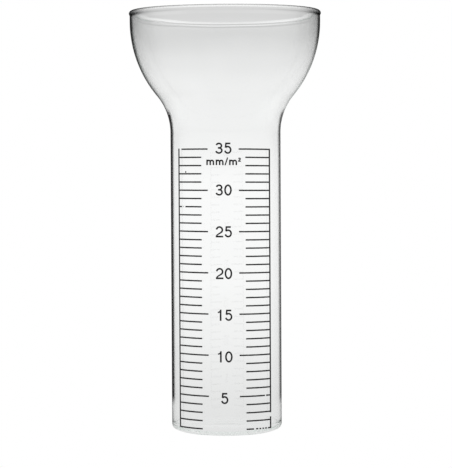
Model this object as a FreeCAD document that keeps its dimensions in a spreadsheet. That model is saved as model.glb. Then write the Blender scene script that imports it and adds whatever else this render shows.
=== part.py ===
import FreeCAD, Part

import math
import os
import Sketcher

# Manual rain gauge: one blown-glass vessel (collecting bowl, neck, measuring
# tube and base) with a scale of black enamel fired on to the tube.
#
# Frame: millimetres, +Z up, origin at the centre of the plane that the base
# stands on. The scale faces -Y, with the left rail towards -X.

V = FreeCAD.Vector
doc = FreeCAD.newDocument("RainGauge")

# ---------------------------------------------------------------- dimensions
sheet = doc.addObject("Spreadsheet::Sheet", "Params")
PARAMS = [
    # glass
    ("total_height", 165.4),        # base plane to the top of the rim bead
    ("wall", 1.4),                  # glass thickness
    ("tube_radius", 21.7),          # outside of the measuring tube
    ("neck_radius", 22.7),          # concave sweep from the tube to the bowl
    ("bowl_radius", 46.0),          # convex sweep of the bowl
    ("bowl_crown_height", 162.0),   # where the bowl's wall turns upright
    ("mouth_radius", 37.5),         # outside of the bowl's wall at the mouth
    ("bead_radius", 0.9),           # fire-polished bead along the rim
    ("bead_blend_radius", 0.8),     # soft step under the bead
    ("base_corner_radius", 2.2),    # outside corner of the base
    ("base_corner_height", 3.3),    # centre of that corner, where the tube begins
    ("sole_radius", 14.0),          # slow curve from the resting ring to the corner
    ("floor_corner_radius", 3.0),   # inside corner of the floor
    ("floor_height", 2.2),          # inside floor at its edge
    ("floor_crown_height", 2.7),    # inside floor at the middle
    ("punt_depth", 0.8),            # hollow under the base
    ("punt_rim_radius", 12.2),      # where the hollow meets the resting ring
    # scale
    ("enamel", 0.04),               # thickness of the fired enamel
    ("line_width", 0.56),           # width of every tick
    ("rail_width", 0.85),           # width of the two rails
    ("division", 3.18),             # height of 1 mm of rain in the tube
    ("rail_half_angle", 54.1),      # rails each side of the scale's middle
    ("minor_half_angle", 23.0),     # inner ends of the short ticks
    ("major_half_angle", 16.0),     # inner ends of the ticks at 5, 10 ... 35
    ("numeral_height", 4.35),
    ("numeral_width", 2.92),
    ("numeral_advance", 3.38),
    ("numeral_stroke", 0.66),
    ("numeral_pitch", 16.07),       # one numeral to the next
    ("numeral_first_height", 111.6),
    ("numeral_shift", 0.15),        # numerals stand a little right of the middle
    ("legend_baseline", 105.1),
    ("legend_x_height", 2.12),
    ("legend_stroke", 0.6),
]
for row, (alias, value) in enumerate(PARAMS, start=1):
    sheet.set("A%d" % row, alias)
    sheet.set("B%d" % row, str(value))
    sheet.setAlias("B%d" % row, alias)
doc.recompute()


def val(alias):
    return float(getattr(sheet, alias))


# ------------------------------------------------------------------- helpers
def plane(body, role):
    for feature in body.Origin.OriginFeatures:
        if feature.Role == role:
            return feature
    raise RuntimeError("no origin plane " + role)


def new_body(label):
    body = doc.addObject("PartDesign::Body", label)
    body.Label = label
    body.AllowCompound = True
    return body


def new_sketch(body, name):
    sketch = body.newObject("Sketcher::SketchObject", name)
    sketch.AttachmentSupport = [(plane(body, "XZ_Plane"), "")]
    sketch.MapMode = "FlatFace"
    return sketch


def bind(sketch, name, constraint, expression):
    index = sketch.addConstraint(constraint)
    sketch.renameConstraint(index, name)
    sketch.setExpression("Constraints." + name, expression)
    return index


# -------------------------------------------------------------- glass vessel
# Half section of the glass, radius along the sketch's X and height along its
# Y, turned through a full circle about the Z axis. It runs outwards along the
# base, up the outside, over the rim bead and back down the inside.
vessel = new_body("glass_vessel")
section = new_sketch(vessel, "vessel_section")

wall = val("wall")
r_tube, r_neck, r_bowl = val("tube_radius"), val("neck_radius"), val("bowl_radius")
r_mouth, z_crown, z_top = val("mouth_radius"), val("bowl_crown_height"), val("total_height")
r_bead, r_blend = val("bead_radius"), val("bead_blend_radius")
r_corner, r_floor = val("base_corner_radius"), val("floor_corner_radius")
z_floor, z_dome = val("floor_height"), val("floor_crown_height")
z_punt, r_punt = val("punt_depth"), val("punt_rim_radius")
z_corner, r_sole = val("base_corner_height"), val("sole_radius")

bowl_c = V(r_mouth - r_bowl, z_crown, 0)
neck_x = r_tube + r_neck
neck_z = z_crown - math.sqrt((r_bowl + r_neck) ** 2 - (neck_x - bowl_c.x) ** 2)
neck_c = V(neck_x, neck_z, 0)
sweep = math.atan2(neck_c.y - bowl_c.y, neck_c.x - bowl_c.x)      # below level
bead_c = V(r_mouth - wall + r_bead, z_top - r_bead, 0)
blend_x = r_mouth + r_blend
blend_c = V(blend_x, bead_c.y - math.sqrt((r_bead + r_blend) ** 2 - (blend_x - bead_c.x) ** 2), 0)
bead_a = math.atan2(blend_c.y - bead_c.y, blend_c.x - bead_c.x)
punt_r = (r_punt ** 2 + z_punt ** 2) / (2 * z_punt)
corner_x = r_tube - r_corner
sole_x = corner_x - math.sqrt((r_sole - r_corner) ** 2 - (r_sole - z_corner) ** 2)
sole_a = math.atan2(z_corner - r_sole, corner_x - sole_x)
dome_x = r_tube - wall - r_floor
dome_d = z_dome - z_floor
dome_r = (dome_x ** 2 + dome_d ** 2) / (2 * dome_d)


def arc(centre, radius, start, end):
    return Part.ArcOfCircle(Part.Circle(centre, V(0, 0, 1), radius), start, end)


def line(a, b):
    return Part.LineSegment(V(a[0], a[1], 0), V(b[0], b[1], 0))


HALF = math.pi / 2
edges = [
    # 0 hollow under the base, from the axis to the resting ring
    arc(V(0, z_punt - punt_r, 0), punt_r, math.acos(r_punt / punt_r), HALF),
    # 1 flat resting ring, 2 outside corner, 3 outside of the tube
    line((r_punt, 0), (sole_x, 0)),
    arc(V(corner_x, z_corner, 0), r_corner, sole_a, 0),
    line((r_tube, z_corner), (r_tube, neck_z)),
    # 4 neck, 5 bowl, 6 upright land of the mouth
    arc(neck_c, r_neck, math.pi + sweep, math.pi),
    arc(bowl_c, r_bowl, sweep, 0),
    line((r_mouth, z_crown), (r_mouth, blend_c.y)),
    # 7 step under the bead, 8 bead, 9 inside land of the mouth
    arc(blend_c, r_blend, bead_a + math.pi, math.pi),
    arc(bead_c, r_bead, bead_a, math.pi),
    line((r_mouth - wall, bead_c.y), (r_mouth - wall, z_crown)),
    # 10 inside of the bowl, 11 inside of the neck, 12 inside of the tube
    arc(bowl_c, r_bowl - wall, sweep, 0),
    arc(neck_c, r_neck + wall, math.pi + sweep, math.pi),
    line((r_tube - wall, neck_z), (r_tube - wall, z_floor + r_floor)),
    # 13 inside corner, 14 crowned floor, 15 the axis
    arc(V(dome_x, z_floor + r_floor, 0), r_floor, -HALF, 0),
    arc(V(0, z_dome - dome_r, 0), dome_r, math.acos(dome_x / dome_r), HALF),
    line((0, z_dome), (0, z_punt)),
    # 16 slow curve from the resting ring up to the outside corner
    arc(V(sole_x, r_sole, 0), r_sole, -HALF, sole_a),
]
for edge in edges:
    section.addGeometry(edge, False)

C = Sketcher.Constraint
START, END, MID = 1, 2, 3
for a, pa, b, pb in [(15, END, 0, END), (0, START, 1, START), (13, START, 14, START), (14, END, 15, START)]:
    section.addConstraint(C("Coincident", a, pa, b, pb))
for a, pa, b, pb in [(1, END, 16, START), (16, END, 2, START), (2, END, 3, START), (3, END, 4, END), (4, START, 5, START),
                     (5, END, 6, START), (6, END, 7, END), (7, START, 8, START), (8, END, 9, START),
                     (9, END, 10, END), (10, START, 11, START), (11, END, 12, START), (12, END, 13, END)]:
    section.addConstraint(C("Tangent", a, pa, b, pb))
section.addConstraint(C("Horizontal", 1))
for upright in (3, 6, 9, 12):
    section.addConstraint(C("Vertical", upright))
section.addConstraint(C("Vertical", 13, START, 13, MID))
section.addConstraint(C("PointOnObject", 0, END, -2))
section.addConstraint(C("PointOnObject", 14, END, -2))
section.addConstraint(C("PointOnObject", 0, MID, -2))
section.addConstraint(C("PointOnObject", 14, MID, -2))
section.addConstraint(C("PointOnObject", 1, START, -1))
section.addConstraint(C("Coincident", 10, MID, 5, MID))
section.addConstraint(C("Coincident", 11, MID, 4, MID))
bind(section, "tube_radius", C("DistanceX", -1, 1, 3, START, r_tube), "Params.tube_radius")
bind(section, "neck_radius", C("Radius", 4, r_neck), "Params.neck_radius")
bind(section, "bowl_radius", C("Radius", 5, r_bowl), "Params.bowl_radius")
bind(section, "mouth_radius", C("DistanceX", -1, 1, 6, START, r_mouth), "Params.mouth_radius")
bind(section, "crown_height", C("DistanceY", -1, 1, 6, START, z_crown), "Params.bowl_crown_height")
bind(section, "inner_bowl_radius", C("Radius", 10, r_bowl - wall), "Params.bowl_radius - Params.wall")
bind(section, "bead_radius", C("Radius", 8, r_bead), "Params.bead_radius")
bind(section, "bead_height", C("DistanceY", -1, 1, 8, MID, z_top - r_bead), "Params.total_height - Params.bead_radius")
bind(section, "blend_radius", C("Radius", 7, r_blend), "Params.bead_blend_radius")
bind(section, "base_corner_radius", C("Radius", 2, r_corner), "Params.base_corner_radius")
bind(section, "base_corner_height", C("DistanceY", -1, 1, 2, MID, z_corner), "Params.base_corner_height")
bind(section, "sole_radius", C("Radius", 16, r_sole), "Params.sole_radius")
bind(section, "floor_corner_radius", C("Radius", 13, r_floor), "Params.floor_corner_radius")
bind(section, "floor_height", C("DistanceY", -1, 1, 13, START, z_floor), "Params.floor_height")
bind(section, "dome_height", C("DistanceY", -1, 1, 14, END, z_dome), "Params.floor_crown_height")
bind(section, "punt_depth", C("DistanceY", -1, 1, 0, END, z_punt), "Params.punt_depth")
bind(section, "punt_rim", C("DistanceX", -1, 1, 1, START, r_punt), "Params.punt_rim_radius")

turn = vessel.newObject("PartDesign::Revolution", "vessel_turn")
turn.Profile = section
turn.ReferenceAxis = (section, ["V_Axis"])
turn.Angle = 360
vessel.Tip = turn


# --------------------------------------------------------------- scale lines
# Every rail and tick is a strip of enamel bent round the tube: a small
# rectangle that lies on the glass, turned about the tube's axis.
def strip(body, name, low, high, start_angle, sweep_angle, values):
    """low and high are expressions for the strip's lower and upper edge, and
    start_angle is the azimuth of the sketch's plane, from +X towards +Y."""
    sketch = new_sketch(body, name + "_section")
    sketch.AttachmentOffset = FreeCAD.Placement(V(0, 0, 0), FreeCAD.Rotation(V(0, 1, 0), values[2]))
    r0, r1 = r_tube, r_tube + val("enamel")
    z0, z1 = values[0], values[1]
    for a, b in [((r0, z0), (r1, z0)), ((r1, z0), (r1, z1)), ((r1, z1), (r0, z1)), ((r0, z1), (r0, z0))]:
        sketch.addGeometry(line(a, b), False)
    for k in range(4):
        sketch.addConstraint(C("Coincident", k, END, (k + 1) % 4, START))
    sketch.addConstraint(C("Horizontal", 0))
    sketch.addConstraint(C("Vertical", 1))
    sketch.addConstraint(C("Horizontal", 2))
    sketch.addConstraint(C("Vertical", 3))
    bind(sketch, "seat", C("DistanceX", -1, 1, 0, START, r0), "Params.tube_radius")
    bind(sketch, "thickness", C("DistanceX", 0, START, 0, END, r1 - r0), "Params.enamel")
    bind(sketch, "low_edge", C("DistanceY", -1, 1, 0, START, z0), low)
    bind(sketch, "strip_width", C("DistanceY", 1, START, 1, END, z1 - z0), "(%s) - (%s)" % (high, low))
    bend = body.newObject("PartDesign::Revolution", name)
    bend.Profile = sketch
    bend.ReferenceAxis = (sketch, ["V_Axis"])
    bend.Angle = values[3]
    bend.setExpression("Angle", sweep_angle)
    body.Tip = bend
    return sketch, bend


width, division = val("line_width"), val("division")
rail_turn = math.degrees(val("rail_width") / r_tube)
rail_turn_expr = "Params.rail_width / Params.tube_radius * 180 / pi"
FRONT = -90.0

# The rails run from the lower edge of the tick for 1 to the upper edge of 35.
for label, side in (("left_rail", -1), ("right_rail", 1)):
    rail = new_body(label)
    azimuth = FRONT + side * val("rail_half_angle")
    strip(rail, label + "_strip",
          "Params.division - Params.line_width / 2", "35 * Params.division + Params.line_width / 2",
          azimuth, rail_turn_expr,
          (division - width / 2, 35 * division + width / 2, azimuth - rail_turn / 2, rail_turn))

# Ticks start at the left rail's inner edge; the right set mirrors the left.
tick_start = FRONT - val("rail_half_angle") + rail_turn / 2


def tick_set(label, first, inner, groups):
    body = new_body(label)
    reach = val("rail_half_angle") - rail_turn / 2 - val(inner)
    expression = "Params.rail_half_angle - Params.rail_width / Params.tube_radius * 90 / pi - Params." + inner
    z = first * division
    sketch, bend = strip(body, label + "_strip",
                         "%d * Params.division - Params.line_width / 2" % first,
                         "%d * Params.division + Params.line_width / 2" % first,
                         tick_start, expression, (z - width / 2, z + width / 2, tick_start, reach))
    many = body.newObject("PartDesign::MultiTransform", label + "_repeat")
    many.Originals = [bend]
    steps = []
    for k, (count, spacing) in enumerate(groups):
        pattern = body.newObject("PartDesign::LinearPattern", "%s_run%d" % (label, k))
        pattern.Direction = (sketch, ["V_Axis"])
        pattern.Length = (count - 1) * spacing * division
        pattern.setExpression("Length", "%d * Params.division" % ((count - 1) * spacing))
        pattern.Occurrences = count
        steps.append(pattern)
    mirror = body.newObject("PartDesign::Mirrored", label + "_mirror")
    mirror.MirrorPlane = (plane(body, "YZ_Plane"), [""])
    steps.append(mirror)
    many.Transformations = steps
    body.Tip = many
    return body


# Short ticks: 1 to 4 mm, again above every fifth millimetre, up to 34.
tick_set("minor_ticks", 1, "minor_half_angle", [(4, 1), (7, 5)])
# Long ticks: 5, 10, 15 ... 35 mm.
tick_set("major_ticks", 5, "major_half_angle", [(7, 5)])


# ------------------------------------------------------------------- figures
# Figures are drawn as strokes of constant width about a centre line, in the
# XZ plane, then cut from the thin skin of enamel round the tube.
def stroke(points, weight, closed=False):
    """Face about a smooth centre line given by its points."""
    n = len(points)
    side_a, side_b = [], []
    for k in range(n):
        if closed:
            p, q = points[k - 1], points[(k + 1) % n]
        else:
            p, q = points[max(k - 1, 0)], points[min(k + 1, n - 1)]
        dx, dz = q[0] - p[0], q[1] - p[1]
        d = math.hypot(dx, dz)
        ox, oz = -dz / d * weight / 2, dx / d * weight / 2
        x, z = points[k]
        side_a.append(V(x + ox, 0, z + oz))
        side_b.append(V(x - ox, 0, z - oz))
    if closed:
        wires = []
        for side in (side_a, side_b):
            curve = Part.BSplineCurve()
            curve.interpolate(Points=side, PeriodicFlag=True)
            wires.append(Part.Wire([curve.toShape()]))
        wires.sort(key=lambda w: w.BoundBox.DiagonalLength, reverse=True)
        return Part.Face(wires[0]).cut(Part.Face(wires[1]))
    if n == 2:
        return Part.Face(Part.makePolygon([side_a[0], side_a[1], side_b[1], side_b[0], side_a[0]]))
    curve_a, curve_b = Part.BSplineCurve(), Part.BSplineCurve()
    curve_a.interpolate(Points=side_a)
    curve_b.interpolate(Points=side_b[::-1])
    return Part.Face(Part.Wire([
        curve_a.toShape(), Part.makeLine(side_a[-1], side_b[-1]),
        curve_b.toShape(), Part.makeLine(side_b[0], side_a[0])]))


def sweep_points(cx, cz, a, b, start, end, count=9):
    """Points along an ellipse, angles in degrees."""
    return [(cx + a * math.cos(math.radians(start + (end - start) * k / (count - 1))),
             cz + b * math.sin(math.radians(start + (end - start) * k / (count - 1))))
            for k in range(count)]


def figure(char, high, wide, weight):
    """Strokes of one figure, centred on its own box."""
    a, b = (wide - weight) / 2, (high - weight) / 2
    top = high / 2
    if char == "0":
        ring = sweep_points(0, 0, a, b, 0, 360, 17)[:-1]
        return [stroke(ring, weight, closed=True)]
    if char == "1":
        return [stroke([(0.26 * a, -top), (0.26 * a, top)], weight),
                stroke([(0.30 * a, 0.93 * b), (-0.10 * a, 0.70 * b), (-0.72 * a, 0.56 * b)], weight * 0.84)]
    if char == "2":
        c = b - a
        end = sweep_points(0, c, a, a, 172, -50, 13)
        return [stroke(end, weight),
                stroke([end[-2], end[-1], (-a + 0.08 * a, -b + 0.16 * b), (-a, -b)], weight),
                stroke([(-a - weight / 2, -b), (a + weight / 2, -b)], weight)]
    if char == "3":
        waist = 0.06 * b
        up, low = (b - waist) / 2, (b + waist) / 2
        return [stroke(sweep_points(-0.04 * a, waist + up, 0.88 * a, up, 166, -90, 13), weight),
                stroke(sweep_points(-0.04 * a, waist - low, a, low, 90, -168, 13), weight),
                stroke([(-0.40 * a, waist), (0.0, waist)], weight)]
    if char == "5":
        bowl_top = 0.34 * b
        half = (b + bowl_top) / 2
        ring = sweep_points(-0.02 * a, bowl_top - half, a, half, 138, -164, 15)
        return [stroke(ring, weight),
                stroke([(-0.60 * a, b + weight * 0.45), ring[0]], weight * 0.94),
                stroke([(-0.64 * a, b), (0.90 * a, b)], weight)]
    raise ValueError(char)


def letter_m(high, weight):
    """One lower-case m from its own baseline; returns strokes and its width."""
    gap = 0.585 * high
    rise = 0.30 * high
    top = high - weight / 2
    strokes = [stroke([(-gap, 0), (-gap, high)], weight)]
    for x in (-gap, 0.0):
        arch = sweep_points(x + gap / 2, top - rise, gap / 2, rise, 180, 0, 9)
        strokes.append(stroke(arch, weight))
        strokes.append(stroke([(x + gap, 0), (x + gap, top - rise)], weight))
    return strokes, 2 * gap + weight


def as_one(strokes):
    face = strokes[0]
    if len(strokes) > 1:
        face = face.fuse(strokes[1:])
    return face.removeSplitter()


skin = Part.makeCylinder(r_tube + val("enamel"), z_top).cut(Part.makeCylinder(r_tube, z_top))


def on_tube(flat, x, z):
    """Carries a flat figure, drawn about the origin, on to the tube's front."""
    moved = flat.copy()
    moved.translate(V(x, -2 * r_tube, z))
    prism = moved.extrude(V(0, 1.5 * r_tube, 0))
    return [s for s in prism.common(skin).Solids if s.Volume > 1e-6]


high, wide = val("numeral_height"), val("numeral_width")
weight, advance = val("numeral_stroke"), val("numeral_advance")
drawn = dict((char, as_one(figure(char, high, wide, weight))) for char in "01235")
pieces = []
for k, text in enumerate(("35", "30", "25", "20", "15", "10", "5")):
    z = val("numeral_first_height") - k * val("numeral_pitch")
    for i, char in enumerate(text):
        x = val("numeral_shift") + (i - (len(text) - 1) / 2.0) * advance
        pieces += on_tube(drawn[char], x, z)
numerals = doc.addObject("Part::Feature", "numerals")
numerals.Label = "numerals"
numerals.Shape = Part.makeCompound(pieces)
numerals.Placement = FreeCAD.Placement()

# Legend of the unit under the 35: millimetres of rain over a square metre.
x_height, thin = val("legend_x_height"), val("legend_stroke")
m_strokes, m_width = letter_m(x_height, thin)
m_face = as_one(m_strokes)
cap = x_height * 1.38
slash = stroke([(-0.17 * cap, -0.02 * cap), (0.17 * cap, cap)], thin * 0.82)
power_high = 0.56 * cap
power = as_one(figure("2", power_high, power_high * 0.66, thin * 0.76))
space = 0.27 * x_height
row_items = [("m", m_face, m_width, 0.0), ("m", m_face, m_width, 0.0), ("/", slash, 0.34 * cap + thin, 0.0),
             ("m", m_face, m_width, 0.0), ("2", power, power_high * 0.66, cap - power_high / 2)]
gaps = [space, space * 0.42, space * 0.42, space * 0.62]
length = sum(item[2] for item in row_items) + sum(gaps)
x = val("numeral_shift") - length / 2
pieces = []
for k, (name, face, item_width, lift) in enumerate(row_items):
    pieces += on_tube(face, x + item_width / 2, val("legend_baseline") + lift)
    x += item_width + (gaps[k] if k < len(gaps) else 0)
legend = doc.addObject("Part::Feature", "unit_legend")
legend.Label = "unit_legend"
legend.Shape = Part.makeCompound(pieces)
legend.Placement = FreeCAD.Placement()
print("legend length %.2f mm, neck starts at %.2f mm" % (length, neck_z))

# --------------------------------------------------------------- write parts
doc.recompute()
NODES = ["glass_vessel", "left_rail", "right_rail", "minor_ticks", "major_ticks", "numerals", "unit_legend"]
for obj in doc.Objects:
    for word in obj.State:
        if word in ("Invalid", "Error"):
            raise RuntimeError("%s is %s" % (obj.Label, word))
    if obj.TypeId == "Sketcher::SketchObject" and obj.solve() != 0:
        raise RuntimeError("sketch %s does not solve" % obj.Label)

os.makedirs("parts", exist_ok=True)
by_label = dict((obj.Label, obj) for obj in doc.Objects)
for node in NODES:
    shape = by_label[node].Shape
    if shape.isNull() or not shape.isValid() or not shape.Solids:
        raise RuntimeError("%s has no valid solid" % node)
    print("%-13s solids %3d  volume %10.4f mm3  box %s" % (node, len(shape.Solids), shape.Volume, shape.BoundBox))
for node in NODES:
    by_label[node].Shape.exportStep("parts/%s.step" % node)
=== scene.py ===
import math

import bmesh
import bpy
import numpy as np
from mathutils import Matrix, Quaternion, Vector, noise


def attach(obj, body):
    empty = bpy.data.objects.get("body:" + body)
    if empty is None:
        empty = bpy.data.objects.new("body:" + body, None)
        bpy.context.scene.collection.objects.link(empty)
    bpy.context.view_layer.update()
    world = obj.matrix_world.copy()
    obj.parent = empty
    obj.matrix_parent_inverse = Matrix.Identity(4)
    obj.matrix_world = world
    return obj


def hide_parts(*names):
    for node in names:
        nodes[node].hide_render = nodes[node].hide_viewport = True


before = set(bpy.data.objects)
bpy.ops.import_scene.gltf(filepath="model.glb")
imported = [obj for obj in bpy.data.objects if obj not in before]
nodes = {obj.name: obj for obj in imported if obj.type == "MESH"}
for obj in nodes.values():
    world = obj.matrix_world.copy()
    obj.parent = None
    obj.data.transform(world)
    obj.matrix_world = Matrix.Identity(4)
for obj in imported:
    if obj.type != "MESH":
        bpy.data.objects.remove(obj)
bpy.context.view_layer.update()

scene = bpy.context.scene
MM = 0.001

# Sizes of the vessel in millimetres, the same as the CAD model's.
WALL, R_TUBE, R_NECK, R_BOWL = 1.4, 21.7, 22.7, 46.0
Z_CROWN, R_MOUTH, Z_TOP = 162.0, 37.5, 165.4
R_BEAD, R_BLEND, R_CORNER, R_FLOOR = 1.0, 0.8, 2.2, 3.0
Z_CORNER, R_SOLE = 3.3, 14.0
Z_FLOOR, Z_DOME, Z_PUNT, R_PUNT = 2.2, 2.7, 0.8, 12.2
ENAMEL = 0.04
R_REACH = 37.8                    # the bead's outermost radius
THICKER, Z_THICK = 0.3, 138.0     # the wall thickens towards the rim from this height
THINNER = 0.2                     # and is thinner where the flank was stretched most
DIVISION, LINE, RAIL = 3.18, 0.56, 0.85
RAIL_A, MINOR_A, MAJOR_A = 54.1, 23.0, 16.0
FRONT = -90.0


# ------------------------------------------------------------------ camera
D, CAM_Z, PITCH, TURN, ROLL = 0.810, 0.0985, 1.445, 2.6, 0.3
cam_data = bpy.data.cameras.new("camera")
cam = bpy.data.objects.new("camera", cam_data)
scene.collection.objects.link(cam)
cam_data.sensor_width = 36.0
cam_data.lens = 2050.0 / 468.0 * 36.0
turn = math.radians(TURN)
cam.location = (D * math.sin(turn), -D * math.cos(turn), CAM_Z)
look = Vector((-math.sin(turn) * math.cos(math.radians(PITCH)),
               math.cos(turn) * math.cos(math.radians(PITCH)), -math.sin(math.radians(PITCH))))
cam.rotation_mode = "QUATERNION"
cam.rotation_quaternion = Quaternion(look, math.radians(ROLL)) @ look.to_track_quat("-Z", "Y")
cam_data.clip_start, cam_data.clip_end = 0.01, 60.0
scene.camera = cam


# ---------------------------------------------------------------- helpers
def mesh_object(name, verts, faces, smooth=True):
    mesh = bpy.data.meshes.new(name)
    mesh.from_pydata([tuple(v) for v in verts], [], faces)
    mesh.validate()
    mesh.update()
    obj = bpy.data.objects.new(name, mesh)
    scene.collection.objects.link(obj)
    if smooth:
        mesh.polygons.foreach_set("use_smooth", [True] * len(mesh.polygons))
    return obj


def new_material(name):
    mat = bpy.data.materials.new(name)
    mat.use_nodes = True
    tree = mat.node_tree
    tree.nodes.clear()
    out = tree.nodes.new("ShaderNodeOutputMaterial")
    return mat, tree, out


def arc_points(cx, cz, r, a0, a1, n):
    return [(cx + r * math.cos(a0 + (a1 - a0) * k / n), cz + r * math.sin(a0 + (a1 - a0) * k / n))
            for k in range(n + 1)]


# ------------------------------------------------------------ glass vessel
bowl_x = R_MOUTH - R_BOWL
neck_x = R_TUBE + R_NECK
neck_z = Z_CROWN - math.sqrt((R_BOWL + R_NECK) ** 2 - (neck_x - bowl_x) ** 2)
lean = math.atan2(neck_z - Z_CROWN, neck_x - bowl_x)
bead_x, bead_z = R_REACH - R_BEAD, Z_TOP - R_BEAD
blend_x = R_MOUTH + R_BLEND
blend_z = bead_z - math.sqrt((R_BEAD + R_BLEND) ** 2 - (blend_x - bead_x) ** 2)
bead_a = math.atan2(blend_z - bead_z, blend_x - bead_x)
punt_r = (R_PUNT ** 2 + Z_PUNT ** 2) / (2 * Z_PUNT)
dome_x = R_TUBE - WALL - R_FLOOR
dome_r = (dome_x ** 2 + (Z_DOME - Z_FLOOR) ** 2) / (2 * (Z_DOME - Z_FLOOR))
HALF = math.pi / 2
sole_x = R_TUBE - R_CORNER - math.sqrt((R_SOLE - R_CORNER) ** 2 - (R_SOLE - Z_CORNER) ** 2)
sole_a = math.atan2(Z_CORNER - R_SOLE, R_TUBE - R_CORNER - sole_x)


def ease(t):
    t = min(max(t, 0.0), 1.0)
    return t * t * (3 - 2 * t)


def straight(r, z0, z1, n):
    return [(r, z0 + (z1 - z0) * k / n) for k in range(n + 1)]


outer = []
outer += arc_points(0, Z_PUNT - punt_r, punt_r, HALF, math.acos(R_PUNT / punt_r), 12)
outer += [(R_PUNT + 0.35, 0.0)]
outer += arc_points(sole_x, R_SOLE, R_SOLE, -HALF, sole_a, 16)
outer += arc_points(R_TUBE - R_CORNER, Z_CORNER, R_CORNER, sole_a, 0, 14)[1:]
outer += straight(R_TUBE, Z_CORNER, neck_z, 44)[1:-1]
outer += arc_points(neck_x, neck_z, R_NECK, math.pi, math.pi + lean, 40)
outer += arc_points(bowl_x, Z_CROWN, R_BOWL, lean, 0, 72)[1:]
outer += straight(R_MOUTH, Z_CROWN, blend_z, 4)[1:-1]
outer += arc_points(blend_x, blend_z, R_BLEND, math.pi, bead_a + math.pi, 5)
outer += arc_points(bead_x, bead_z, R_BEAD, bead_a, HALF, 14)[1:]
inner = []
inner += arc_points(bead_x, bead_z, R_BEAD, HALF, math.pi, 10)[1:]
lip, crown = R_REACH - 2 * R_BEAD, R_MOUTH - WALL - THICKER
inner += [(lip + (crown - lip) * ease(k / 8), bead_z + (Z_CROWN - bead_z) * k / 8) for k in range(1, 8)]
z_turn = neck_z + R_NECK * math.sin(-lean) + 0.6      # thinnest a little above where the sweep changes sides
for k in range(73):
    a = lean * k / 72
    z = Z_CROWN + (R_BOWL - WALL) * math.sin(a)
    share = min(max(1.0 - (z - z_turn) / (Z_CROWN - z_turn), 0.0), 1.0)
    wall = WALL - THINNER * share ** 2 + THICKER * max((z - Z_THICK) / (Z_CROWN - Z_THICK), 0.0) ** 2
    inner.append((bowl_x + (R_BOWL - wall) * math.cos(a), Z_CROWN + (R_BOWL - wall) * math.sin(a)))
for k in range(1, 41):
    a = math.pi + lean * (1 - k / 40)
    z = neck_z + (R_NECK + WALL) * math.sin(a)
    share = min(max((z - neck_z) / (z_turn - neck_z), 0.0), 1.0)
    wall = WALL - THINNER * share ** 2
    inner.append((neck_x + (R_NECK + wall) * math.cos(a), neck_z + (R_NECK + wall) * math.sin(a)))
inner += straight(R_TUBE - WALL, neck_z, Z_FLOOR + R_FLOOR, 44)[1:-1]
inner += arc_points(dome_x, Z_FLOOR + R_FLOOR, R_FLOOR, 0, -HALF, 14)
inner += arc_points(0, Z_DOME - dome_r, dome_r, math.acos(dome_x / dome_r), HALF, 12)[1:]


def ripple(angle, z, seed, along, around):
    """Slow wander of a drawn and blown wall, between -1 and 1."""
    c, s = math.cos(angle), math.sin(angle)
    return noise.noise(Vector((c * around + seed, s * around, z * along)))


def build_vessel():
    segments = 288
    verts, faces, slots = [], [], []
    rows = []
    profile = [(r, z, 0) for r, z in outer] + [(r, z, 1) for r, z in inner]
    for r, z, side in profile:
        if r < 1e-6:
            rows.append([len(verts)])
            verts.append((0.0, 0.0, z * MM))
            continue
        ring = []
        upper = min(max((z - 112.0) / 30.0, 0.0), 1.0)
        for k in range(segments):
            a = 2 * math.pi * k / segments
            if side == 0:
                d = 0.004 + 0.05 * upper * ripple(a, z, 3.1, 0.03, 1.3)
                d = d if z > 112 else 0.0
            else:
                d = (0.045 * ripple(a, z, 11.7, 0.012, 2.1) + 0.02 * ripple(a, z, 5.3, 0.05, 5.0)) * min(z / 8.0, 1.0)
                d += 0.07 * upper * ripple(a, z, 8.9, 0.05, 1.9)
                d *= min(max((Z_TOP - z) / 6.0, 0.0), 1.0)
            if side == 0:
                d *= min(max((Z_TOP - z) / 6.0, 0.0), 1.0)
            ring.append(len(verts))
            level = (0.2 * math.sin(a) - 0.55 * math.cos(a) ** 2) * ease((z - 159.0) / 5.0)
            verts.append(((r + d) * MM * math.cos(a), (r + d) * MM * math.sin(a), (z - level) * MM))
        rows.append(ring)
    for i in range(len(rows) - 1):
        a, b = rows[i], rows[i + 1]
        slot = 0 if i < len(outer) - 1 else 1
        for k in range(segments):
            n = (k + 1) % segments
            if len(a) == 1:
                faces.append((a[0], b[n], b[k]))
            elif len(b) == 1:
                faces.append((a[k], a[n], b[0]))
            else:
                faces.append((a[k], a[n], b[n], b[k]))
            slots.append(slot)
    obj = mesh_object("blown_glass", verts, faces)
    bm = bmesh.new()
    bm.from_mesh(obj.data)
    bmesh.ops.recalc_face_normals(bm, faces=bm.faces[:])
    bm.to_mesh(obj.data)
    bm.free()
    return obj, slots


vessel, vessel_slots = build_vessel()


def grey(v, alpha=1.0):
    """Linear colour of a display grey from 0 to 255."""
    v = v / 255.0
    c = v / 12.92 if v <= 0.04045 else ((v + 0.055) / 1.055) ** 2.4
    return (c, c, c, alpha)


def ramp_node(tree, stops, source):
    """stops are (position, linear value)."""
    node = tree.nodes.new("ShaderNodeValToRGB")
    elements = node.color_ramp.elements
    while len(elements) < len(stops):
        elements.new(0.5)
    for element, (at, value) in zip(elements, stops):
        element.position = at
        element.color = (value, value, value, 1) if not isinstance(value, tuple) else value
    tree.links.new(source, node.inputs[0])
    return node


def map_node(tree, source, a, b, c, d, smooth=False):
    node = tree.nodes.new("ShaderNodeMapRange")
    node.interpolation_type = "SMOOTHSTEP" if smooth else "LINEAR"
    for name, value in (("From Min", a), ("From Max", b), ("To Min", c), ("To Max", d)):
        node.inputs[name].default_value = value
    tree.links.new(source, node.inputs["Value"])
    return node.outputs[0]


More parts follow.
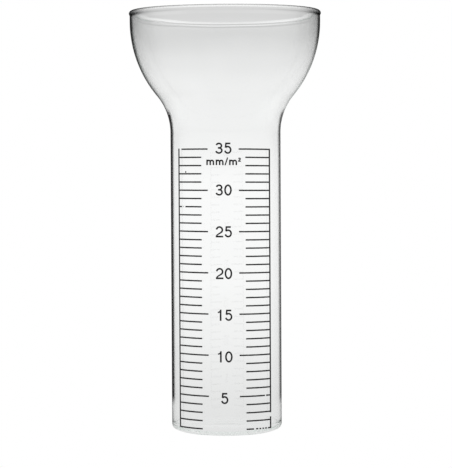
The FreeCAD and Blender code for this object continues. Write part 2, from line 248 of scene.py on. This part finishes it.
def mix_colour(tree, factor, a, b):
    node = tree.nodes.new("ShaderNodeMix")
    node.data_type = "RGBA"
    tree.links.new(factor, node.inputs[0])
    tree.links.new(a, node.inputs[6])
    tree.links.new(b, node.inputs[7])
    return node.outputs[2]


def hand_marks(tree, g, coord, seed):
    """Faint smears left by wiping, and the slow draw lines of blown glass."""
    shifted = tree.nodes.new("ShaderNodeMapping")
    shifted.inputs["Location"].default_value = (seed, 0.4 * seed, 0.7 * seed)
    shifted.inputs["Scale"].default_value = (1.0, 1.0, 0.35)
    tree.links.new(coord.outputs["Object"], shifted.inputs["Vector"])
    smear = tree.nodes.new("ShaderNodeTexNoise")
    smear.inputs["Scale"].default_value = 55.0
    smear.inputs["Detail"].default_value = 5.0
    smear.inputs["Distortion"].default_value = 0.8
    draw = tree.nodes.new("ShaderNodeTexNoise")
    draw.inputs["Scale"].default_value = 120.0
    draw.inputs["Detail"].default_value = 2.0
    for node in (smear, draw):
        tree.links.new(shifted.outputs["Vector"], node.inputs["Vector"])
    tree.links.new(map_node(tree, smear.outputs["Fac"], 0.56, 0.78, 0.0, 0.035, smooth=True), g.inputs["Roughness"])
    bump = tree.nodes.new("ShaderNodeBump")
    bump.inputs["Strength"].default_value = 1.0
    bump.inputs["Distance"].default_value = 0.0000025
    tree.links.new(draw.outputs["Fac"], bump.inputs["Height"])
    tree.links.new(bump.outputs[0], g.inputs["Normal"])
    tint = ramp_node(tree, [(0.35, (0.9985, 1.0, 0.9992, 1)), (0.72, (0.9925, 0.9955, 0.994, 1))], smear.outputs["Fac"])
    return tint.outputs[0]


def multiply(tree, a, b):
    node = tree.nodes.new("ShaderNodeMix")
    node.data_type = "RGBA"
    node.blend_type = "MULTIPLY"
    node.inputs[0].default_value = 1.0
    tree.links.new(a, node.inputs[6])
    tree.links.new(b, node.inputs[7])
    return node.outputs[2]


def glass_outside():
    """Clear glass with painted edge shade: Layer Weight facing ramps darken its colour towards
    the rim of sight, standing for the dark rim a drawn wall shows where the light that grazes it is carried round
    inside the wall."""
    mat, tree, out = new_material("glass_outside")
    g = tree.nodes.new("ShaderNodeBsdfGlass")
    g.inputs["IOR"].default_value = 1.47
    weight = tree.nodes.new("ShaderNodeLayerWeight")
    weight.inputs["Blend"].default_value = 0.5
    facing = weight.outputs["Facing"]
    coord = tree.nodes.new("ShaderNodeTexCoord")
    split = tree.nodes.new("ShaderNodeSeparateXYZ")
    tree.links.new(coord.outputs["Object"], split.inputs[0])
    across, height = split.outputs["X"], split.outputs["Z"]
    # painted edge shade: each ramp darkens the glass colour as the surface turns edge-on, one ramp per height band
    tube_left = ramp_node(tree, [(0.30, 1.0), (0.43, 0.97), (0.64, 0.88), (0.69, 0.5), (0.735, 0.05), (1.0, 0.01)], facing)
    tube = ramp_node(tree, [(0.30, 1.0), (0.43, 0.97), (0.66, 0.87), (0.72, 0.5), (0.77, 0.06), (1.0, 0.01)], facing)
    mouth = ramp_node(tree, [(0.10, 0.988), (0.22, 0.975), (0.318, 0.93), (0.392, 0.845), (0.45, 0.80), (0.518, 0.741), (0.602, 0.635),
                             (0.654, 0.573), (0.716, 0.494), (0.775, 0.25), (0.81, 0.06), (1.0, 0.01)], facing)
    flank = ramp_node(tree, [(0.24, 1.0), (0.32, 0.985), (0.42, 0.95), (0.52, 0.905), (0.62, 0.855), (0.70, 0.79), (0.78, 0.52), (0.85, 0.13), (1.0, 0.02)], facing)
    bead = ramp_node(tree, [(0.10, 0.985), (0.35, 0.85), (0.50, 0.62), (0.65, 0.30), (0.78, 0.08), (1.0, 0.01)], facing)
    shoulder_left = ramp_node(tree, [(0.24, 1.0), (0.35, 0.98), (0.45, 0.945), (0.55, 0.91), (0.64, 0.86), (0.69, 0.46), (0.735, 0.05), (1.0, 0.01)], facing)
    shoulder = ramp_node(tree, [(0.24, 1.0), (0.35, 0.98), (0.45, 0.945), (0.55, 0.91), (0.65, 0.86), (0.72, 0.46), (0.77, 0.05), (1.0, 0.01)], facing)
    low = ramp_node(tree, [(0.30, 1.0), (0.45, 0.985), (0.60, 0.95), (0.70, 0.87), (0.78, 0.64), (0.88, 0.42), (1.0, 0.34)], facing)
    base = ramp_node(tree, [(0.60, 1.0), (0.85, 0.97), (1.0, 0.86)], facing)
    one = ramp_node(tree, [(0.0, 1.0), (1.0, 1.0)], facing)
    # Painted edge shade differs by side: on the -x side the tube and shoulder ramps darken at a lower facing, and
    # towards +x the shade is lifted towards white, so the edge is painted lighter there.
    flank_edge_shade = mix_colour(tree, map_node(tree, across, -0.035, 0.035, 0.0, 0.55), flank.outputs[0], one.outputs[0])
    over = map_node(tree, across, -0.02, 0.02, 0.0, 1.0)
    tube_edge_shade = mix_colour(tree, map_node(tree, across, -0.02, 0.02, 0.0, 0.10), mix_colour(tree, over, tube_left.outputs[0], tube.outputs[0]), one.outputs[0])
    shoulder_edge_shade = mix_colour(tree, map_node(tree, across, -0.02, 0.02, 0.0, 0.10), mix_colour(tree, over, shoulder_left.outputs[0], shoulder.outputs[0]), one.outputs[0])
    wall = mix_colour(tree, map_node(tree, height, 0.111, 0.117, 0.0, 1.0, smooth=True), tube_edge_shade, shoulder_edge_shade)
    wall = mix_colour(tree, map_node(tree, height, 0.1245, 0.128, 0.0, 1.0, smooth=True), wall, flank_edge_shade)
    wall = mix_colour(tree, map_node(tree, height, 0.134, 0.159, 0.0, 1.0, smooth=True), wall, mouth.outputs[0])
    wall = mix_colour(tree, map_node(tree, height, 0.0105, 0.0150, 0.0, 1.0, smooth=True), low.outputs[0], wall)
    wall = mix_colour(tree, map_node(tree, height, 0.0020, 0.0042, 0.0, 1.0, smooth=True), base.outputs[0], wall)
    wall = mix_colour(tree, map_node(tree, height, 0.1628, 0.1638, 0.0, 1.0, smooth=True), wall, bead.outputs[0])
    # Only front faces get the painted edge shade and rim lines; back faces, seen from inside the wall, get only the
    # lower painted rim lines, since only light that enters grazes the wall and light already inside it leaves clear.
    side = tree.nodes.new("ShaderNodeNewGeometry")
    # painted shade: dark lines along the bead where it rolls over into the wall, standing for its dark outlines; they
    # darken further as the surface turns edge-on
    band = map_node(tree, height, 0.160, 0.168, 0.0, 1.0)
    rim_shade_lines = ramp_node(tree, [(0.0, 1.0), (0.44, 1.0), (0.51, 0.76), (0.58, 1.0), (1.0, 1.0)], band)
    back_rim_shade_lines = ramp_node(tree, [(0.0, 1.0), (0.31, 1.0), (0.385, 0.80), (0.44, 1.0), (0.51, 0.72), (0.58, 1.0), (1.0, 1.0)], band)
    deep_rim_shade_lines = ramp_node(tree, [(0.0, 1.0), (0.40, 1.0), (0.51, 0.12), (0.63, 1.0), (1.0, 1.0)], band)
    rim_shade_lines = mix_colour(tree, map_node(tree, facing, 0.42, 0.78, 0.0, 1.0, smooth=True), rim_shade_lines.outputs[0], deep_rim_shade_lines.outputs[0])
    wall = mix_colour(tree, side.outputs["Backfacing"], multiply(tree, wall, rim_shade_lines), back_rim_shade_lines.outputs[0])
    tree.links.new(multiply(tree, wall, hand_marks(tree, g, coord, 0.31)), g.inputs["Color"])
    tree.links.new(g.outputs[0], out.inputs["Surface"])
    return mat


def glass_inside():
    mat, tree, out = new_material("glass_inside")
    g = tree.nodes.new("ShaderNodeBsdfGlass")
    g.inputs["IOR"].default_value = 1.47
    coord = tree.nodes.new("ShaderNodeTexCoord")
    tree.links.new(hand_marks(tree, g, coord, 0.83), g.inputs["Color"])
    tree.links.new(g.outputs[0], out.inputs["Surface"])
    return mat


vessel.data.materials.append(glass_outside())
vessel.data.materials.append(glass_inside())
for polygon, slot in zip(vessel.data.polygons, vessel_slots):
    polygon.material_index = slot
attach(vessel, "root")
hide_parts("glass_vessel")


# ------------------------------------------------------------ fired enamel
def enamel_material():
    """Black glass enamel: dense, slightly mottled, with the grain of the screen."""
    mat, tree, out = new_material("fired_enamel")
    p = tree.nodes.new("ShaderNodeBsdfPrincipled")
    p.inputs["Specular IOR Level"].default_value = 0.22
    coord = tree.nodes.new("ShaderNodeTexCoord")
    patches = tree.nodes.new("ShaderNodeTexNoise")
    patches.inputs["Scale"].default_value = 420.0
    patches.inputs["Detail"].default_value = 4.0
    grain = tree.nodes.new("ShaderNodeTexNoise")
    grain.inputs["Scale"].default_value = 6500.0
    grain.inputs["Detail"].default_value = 2.0
    pits = tree.nodes.new("ShaderNodeTexVoronoi")
    pits.inputs["Scale"].default_value = 5200.0
    for node in (patches, grain, pits):
        tree.links.new(coord.outputs["Object"], node.inputs["Vector"])
    tone = ramp_node(tree, [(0.32, (0.0035, 0.0035, 0.004, 1)), (0.56, (0.007, 0.007, 0.0075, 1)), (0.74, (0.020, 0.020, 0.021, 1))],
                     patches.outputs["Fac"])
    tree.links.new(tone.outputs[0], p.inputs["Base Color"])
    tree.links.new(map_node(tree, patches.outputs["Fac"], 0.3, 0.7, 0.34, 0.56), p.inputs["Roughness"])
    height = tree.nodes.new("ShaderNodeMath")
    height.operation = "ADD"
    tree.links.new(grain.outputs["Fac"], height.inputs[0])
    tree.links.new(map_node(tree, pits.outputs["Distance"], 0.0, 0.25, 0.0, 0.5), height.inputs[1])
    bump = tree.nodes.new("ShaderNodeBump")
    bump.inputs["Strength"].default_value = 0.35
    bump.inputs["Distance"].default_value = 0.00001
    tree.links.new(height.outputs[0], bump.inputs["Height"])
    tree.links.new(bump.outputs[0], p.inputs["Normal"])
    tree.links.new(p.outputs["BSDF"], out.inputs["Surface"])
    return mat


enamel = enamel_material()
R_IN, R_OUT = R_TUBE - 0.02, R_TUBE + ENAMEL


def skew(turned, z):
    """The printing screen sat a fraction of a degree askew; turned is in radians."""
    return z - (0.0107 - 0.0043 * z / 102.0) * turned * R_TUBE


def on_tube(angle, r, z):
    a = math.radians(angle)
    return (r * MM * math.cos(a), r * MM * math.sin(a), skew(a - math.radians(FRONT), z) * MM)


def strip_data(a0, a1, z0, z1, seed, verts, faces, ragged=0.035):
    """One strip of enamel on the tube, with the slightly uneven edges of a print."""
    along_z = (z1 - z0) > math.radians(a1 - a0) * R_TUBE
    length = (z1 - z0) if along_z else math.radians(a1 - a0) * R_TUBE
    n = max(4, int(length / 0.22))
    base = len(verts)
    for k in range(n + 1):
        t = k / n
        s = length * t
        lo = ragged * noise.noise(Vector((s * 1.9, seed * 3.17, 0.4))) + 0.5 * ragged * noise.noise(Vector((s * 5.3, seed * 1.7, 8.2)))
        hi = ragged * noise.noise(Vector((s * 1.9, seed * 3.17, 5.4))) + 0.5 * ragged * noise.noise(Vector((s * 5.3, seed * 1.7, 3.2)))
        if along_z:
            z = z0 + (z1 - z0) * t
            pa, pb = a0 + math.degrees(lo / R_TUBE), a1 + math.degrees(hi / R_TUBE)
            quad = [(pa, R_IN, z), (pb, R_IN, z), (pb, R_OUT, z), (pa, R_OUT, z)]
        else:
            a = a0 + (a1 - a0) * t
            quad = [(a, R_IN, z0 + lo), (a, R_IN, z1 + hi), (a, R_OUT, z1 + hi), (a, R_OUT, z0 + lo)]
        verts += [on_tube(*q) for q in quad]
    for k in range(n):
        i, j = base + 4 * k, base + 4 * (k + 1)
        for e in range(4):
            f = (e + 1) % 4
            faces.append((i + e, i + f, j + f, j + e))
    faces.append((base, base + 1, base + 2, base + 3))
    last = base + 4 * n
    faces.append((last + 3, last + 2, last + 1, last))


def strips_object(name, node, strips):
    verts, faces = [], []
    for k, (a0, a1, z0, z1) in enumerate(strips):
        strip_data(a0, a1, z0, z1, k + len(name) * 0.37, verts, faces)
    obj = mesh_object(name, verts, faces, smooth=False)
    bm = bmesh.new()
    bm.from_mesh(obj.data)
    bmesh.ops.recalc_face_normals(bm, faces=bm.faces[:])
    bm.to_mesh(obj.data)
    bm.free()
    obj.data.materials.append(enamel)
    obj.visible_glossy = False
    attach(obj, "root")
    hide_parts(node)
    return obj


def turn_of(length):
    return math.degrees(length / R_TUBE)


def worn(strip, gaps):
    """A strip less the worn-away stretches, each (from, to) as shares of its longer side."""
    a0, a1, z0, z1 = strip
    along_z = (z1 - z0) > math.radians(a1 - a0) * R_TUBE
    edges = [0.0] + [v for gap in gaps for v in gap] + [1.0]
    kept = []
    for lo, hi in zip(edges[::2], edges[1::2]):
        if hi - lo < 1e-6:
            continue
        if along_z:
            kept.append((a0, a1, z0 + (z1 - z0) * lo, z0 + (z1 - z0) * hi))
        else:
            kept.append((a0 + (a1 - a0) * lo, a0 + (a1 - a0) * hi, z0, z1))
    return kept


rail_turn = turn_of(RAIL)
low, high = DIVISION - LINE / 2, 35 * DIVISION + LINE / 2
RAIL_WEAR = {-1: [], 1: [(0.0425, 0.0565)]}
for name, node, side in (("print_left_rail", "left_rail", -1), ("print_right_rail", "right_rail", 1)):
    mid = FRONT + side * RAIL_A
    strips_object(name, node, worn((mid - rail_turn / 2, mid + rail_turn / 2, low, high), RAIL_WEAR[side]))

# Stretches that have worn off, by side and tick, from the lower to the higher angle.
TICK_WEAR = {
    (-1, 35): [(0.0, 0.095)],
    (-1, 28): [(0.13, 0.19), (0.21, 0.31)],
    (1, 5): [(0.80, 0.845)],
    (1, 1): [(0.28, 0.36), (0.45, 0.50), (0.57, 0.63), (0.70, 0.76), (0.84, 0.90)],
}


def both_sides(n, inner_a):
    z = n * DIVISION
    reach = RAIL_A - rail_turn / 2
    left = (FRONT - reach, FRONT - inner_a, z - LINE / 2, z + LINE / 2)
    right = (FRONT + inner_a, FRONT + reach, z - LINE / 2, z + LINE / 2)
    return worn(left, TICK_WEAR.get((-1, n), [])) + worn(right, TICK_WEAR.get((1, n), []))


minor = [s for n in range(1, 35) if n % 5 for s in both_sides(n, MINOR_A)]
# a speck of enamel that dripped above the left tick for 32
minor.append((FRONT - 43.6, FRONT - 42.1, 102.15, 102.8))
strips_object("print_minor_ticks", "minor_ticks", minor)
strips_object("print_major_ticks", "major_ticks", [s for n in range(5, 36, 5) for s in both_sides(n, MAJOR_A)])


def wrapped_copy(name, node):
    """A finer copy of a figure's solid that follows the tube exactly."""
    mesh = nodes[node].data.copy()
    bm = bmesh.new()
    bm.from_mesh(mesh)
    bmesh.ops.remove_doubles(bm, verts=bm.verts[:], dist=1e-7)
    for k in range(-26, 27):
        x = k * 0.25 * MM
        bmesh.ops.bisect_plane(bm, geom=bm.verts[:] + bm.edges[:] + bm.faces[:], dist=1e-7,
                               plane_co=(x, 0, 0), plane_no=(1, 0, 0))
    for v in bm.verts:
        r = math.hypot(v.co.x, v.co.y)
        want = (R_OUT if r > (R_TUBE + ENAMEL / 2) * MM / 1.0 else R_IN) * MM
        v.co.x *= want / r
        v.co.y *= want / r
        turned = math.atan2(v.co.y, v.co.x) - math.radians(FRONT)
        v.co.z = skew(turned, v.co.z / MM) * MM
    bmesh.ops.recalc_face_normals(bm, faces=bm.faces[:])
    bm.to_mesh(mesh)
    bm.free()
    mesh.materials.clear()
    mesh.materials.append(enamel)
    mesh.polygons.foreach_set("use_smooth", [False] * len(mesh.polygons))
    obj = bpy.data.objects.new(name, mesh)
    scene.collection.objects.link(obj)
    obj.visible_glossy = False
    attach(obj, "root")
    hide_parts(node)
    return obj


wrapped_copy("print_numerals", "numerals")
wrapped_copy("print_unit_legend", "unit_legend")


# ------------------------------------------------------------------- stage
def plane(name, size, z):
    obj = mesh_object(name, [(-size, -size, z), (size, -size, z), (size, size, z), (-size, size, z)], [(0, 1, 2, 3)], smooth=False)
    mat, tree, out = new_material(name + "_paint")
    e = tree.nodes.new("ShaderNodeEmission")
    e.inputs["Color"].default_value = (1, 1, 1, 1)
    tree.links.new(e.outputs[0], out.inputs["Surface"])
    obj.data.materials.append(mat)
    return obj, tree, e


floor, tree, e = plane("floor_seen", 30.0, -0.0006)
floor.visible_glossy = floor.visible_transmission = floor.visible_diffuse = floor.visible_shadow = False

# What the glass gathers from the floor: a pale table with a painted shadow, its emission greyer near the object and
# paler far off.
under, tree, e = plane("floor_through_glass", 30.0, -0.0003)
under.visible_camera = False
coord = tree.nodes.new("ShaderNodeTexCoord")
length = tree.nodes.new("ShaderNodeVectorMath")
length.operation = "LENGTH"
tree.links.new(coord.outputs["Object"], length.inputs[0])
far = map_node(tree, length.outputs["Value"], 0.0, 4.0, 0.0, 1.0)
ramp = ramp_node(tree, [(0.0, grey(227)), (0.03, grey(230)), (0.06, grey(235)), (0.12, grey(242)), (0.29, grey(249)), (1.0, grey(251))], far)
tree.links.new(ramp.outputs[0], e.inputs["Color"])

# A wide soft box overhead gives the enamel its sheen.
box_data = bpy.data.lights.new("soft_box", "AREA")
box_data.shape = "RECTANGLE"
box_data.size, box_data.size_y = 0.9, 0.6
box_data.energy = 1.2
soft_box = bpy.data.objects.new("soft_box", box_data)
scene.collection.objects.link(soft_box)
soft_box.location = (-0.25, -0.55, 0.85)
soft_box.rotation_mode = "QUATERNION"
soft_box.rotation_quaternion = (Vector((0.0, 0.0, 0.08)) - Vector(soft_box.location)).to_track_quat("-Z", "Y")
soft_box.visible_glossy = soft_box.visible_transmission = False

world = bpy.data.worlds.new("studio")
scene.world = world
world.use_nodes = True
tree = world.node_tree
tree.nodes.clear()
out = tree.nodes.new("ShaderNodeOutputWorld")
lit = tree.nodes.new("ShaderNodeBackground")
seen = tree.nodes.new("ShaderNodeBackground")
mix = tree.nodes.new("ShaderNodeMixShader")
path = tree.nodes.new("ShaderNodeLightPath")
coord = tree.nodes.new("ShaderNodeTexCoord")
split = tree.nodes.new("ShaderNodeSeparateXYZ")
tree.links.new(coord.outputs["Generated"], split.inputs[0])
up = map_node(tree, split.outputs["Z"], -0.5, 0.5, 0.0, 1.0)
sky = ramp_node(tree, [(0.0, grey(230)), (0.5, grey(251)), (0.517, grey(245)), (0.5255, grey(242)), (0.5401, grey(241)), (0.5459, grey(239)),
                       (0.5518, grey(236.5)), (0.5576, grey(233.5)), (0.5635, grey(231.5)), (0.5694, grey(229.5)), (0.5722, grey(227.5)),
                       (0.5752, grey(225)), (0.58, grey(221)), (0.585, grey(217.5)), (0.59, grey(215)), (0.66, grey(216)), (0.76, grey(240)), (1.0, grey(251))], up)
tree.links.new(sky.outputs[0], lit.inputs["Color"])
seen.inputs["Color"].default_value = (1, 1, 1, 1)
tree.links.new(path.outputs["Is Camera Ray"], mix.inputs[0])
tree.links.new(lit.outputs[0], mix.inputs[1])
tree.links.new(seen.outputs[0], mix.inputs[2])
tree.links.new(mix.outputs[0], out.inputs["Surface"])

scene.view_settings.view_transform = "Standard"
scene.cycles.max_bounces = 128
scene.cycles.transmission_bounces = 96
scene.cycles.glossy_bounces = 96
scene.cycles.caustics_reflective = False
scene.cycles.caustics_refractive = False
